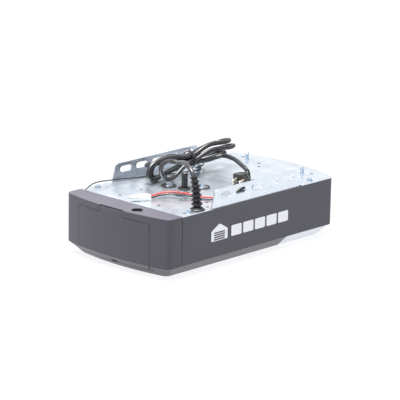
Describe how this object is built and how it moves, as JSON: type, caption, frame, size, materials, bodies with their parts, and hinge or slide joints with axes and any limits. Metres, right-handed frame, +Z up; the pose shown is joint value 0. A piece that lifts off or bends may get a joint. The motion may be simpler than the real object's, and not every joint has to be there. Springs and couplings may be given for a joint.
{
  "type": "garage door opener",
  "caption": "Garage door opener head: steel chassis plate with hanging brackets and splined output shaft, gearmotor, lamp lens, end cap with access door, tied mains lead.",
  "frame": {"origin": "middle of the head's underside", "axes": "+X along the head towards the lamp lens, -X to the end cap with the access door, +Z up to the chassis plate that carries the rail and the hanging brackets"},
  "size_m": [0.432, 0.235, 0.1688],
  "materials": {
    "dark_plastic": "fine grained",
    "galvanised_steel": "bright galvanised",
    "zinc_steel": "blue zinc",
    "white_lens": "translucent white",
    "black_plastic": "moulded",
    "black_rubber": "moulded",
    "cord_pvc": "satin PVC",
    "red_wire": "satin PVC",
    "white_nylon": "moulded",
    "brass": "stamped",
    "dark_steel": "plain",
    "bright_steel": "ground",
    "cast_alloy": "as cast",
    "bronze": "sintered",
    "copper": "enamelled winding",
    "circuit_board": "solder mask",
    "relay_blue": "moulded",
    "terminal_green": "moulded",
    "natural_nylon": "cut",
    "button_red": "moulded",
    "button_grey": "moulded"
  },
  "bodies": {
    "head": {"main_housing": "dark_plastic", "end_cap": "dark_plastic", "chassis_plate": "galvanised_steel", "hanging_bracket_front": "galvanised_steel", "hanging_bracket_rear": "galvanised_steel", "rail_stud_1": "zinc_steel", "rail_stud_2": "zinc_steel", "rail_stud_3": "zinc_steel", "rail_stud_4": "zinc_steel", "plate_screw_1": "zinc_steel", "plate_screw_2": "zinc_steel", "plate_screw_3": "zinc_steel", "plate_screw_4": "zinc_steel", "gearbox_screw_1": "zinc_steel", "gearbox_screw_2": "zinc_steel", "gearbox_screw_3": "zinc_steel", "light_lens": "white_lens", "control_panel": "black_plastic", "shaft_collar": "black_plastic", "motor_end_bell": "black_plastic", "smoothing_capacitor": "black_plastic", "cord_tie": "black_plastic", "plug_body": "black_plastic", "grommet_1": "black_rubber", "grommet_2": "black_rubber", "grommet_3": "black_rubber", "strain_relief": "black_rubber", "power_cord_lead": "cord_pvc", "power_cord_hank": "cord_pvc", "power_cord_tail": "cord_pvc", "antenna_wire": "cord_pvc", "battery_lead_black": "cord_pvc", "battery_lead_red": "red_wire", "connector_plug": "white_nylon", "connector_socket": "white_nylon", "plug_blade_line": "brass", "plug_blade_neutral": "brass", "plug_ground_pin": "brass", "motor_can": "dark_steel", "transformer_core": "dark_steel", "gearbox_housing": "cast_alloy", "gearbox_cover": "cast_alloy", "output_bush": "bronze", "transformer_coil": "copper", "control_board": "circuit_board", "receiver_module": "circuit_board", "led_board": "circuit_board", "relay_open": "relay_blue", "relay_close": "relay_blue", "terminal_block": "terminal_green"},
    "output": {"output_shaft": "black_plastic", "worm_wheel": "natural_nylon"},
    "rotor": {"worm_shaft": "bright_steel", "motor_armature": "copper", "encoder_disc": "black_plastic"},
    "door": {"access_door": "dark_plastic"},
    "key_up": {"button_up": "button_grey"},
    "key_down": {"button_down": "button_grey"},
    "key_set": {"button_set": "button_grey"},
    "key_learn": {"button_learn": "button_red"}
  },
  "joints": [
    {"name": "output_spin", "type": "hinge", "parent": "head", "child": "output", "pos_m": [-0.046, 0, 0.1], "axis": [0, 0, 1], "continuous": true},
    {"name": "worm_spin", "type": "hinge", "parent": "head", "child": "rotor", "pos_m": [-0.046, -0.043, 0.074], "axis": [1, 0, 0], "continuous": true},
    {"name": "door_hinge", "type": "hinge", "parent": "head", "child": "door", "pos_m": [-0.216, 0, 0.0955], "axis": [0, 1, 0], "range_deg": [0, 100]},
    {"name": "key_up_press", "type": "slide", "parent": "head", "child": "key_up", "axis": [1, 0, 0], "range_m": [0, 0.0015], "stiffness_N_per_m": 300},
    {"name": "key_down_press", "type": "slide", "parent": "head", "child": "key_down", "axis": [1, 0, 0], "range_m": [0, 0.0015], "stiffness_N_per_m": 300},
    {"name": "key_set_press", "type": "slide", "parent": "head", "child": "key_set", "axis": [1, 0, 0], "range_m": [0, 0.0015], "stiffness_N_per_m": 300},
    {"name": "key_learn_press", "type": "slide", "parent": "head", "child": "key_learn", "axis": [1, 0, 0], "range_m": [0, 0.0015], "stiffness_N_per_m": 300}
  ],
  "couplings": [
    {"joint": "worm_spin", "follows": "output_spin", "ratio": -40}
  ]
}
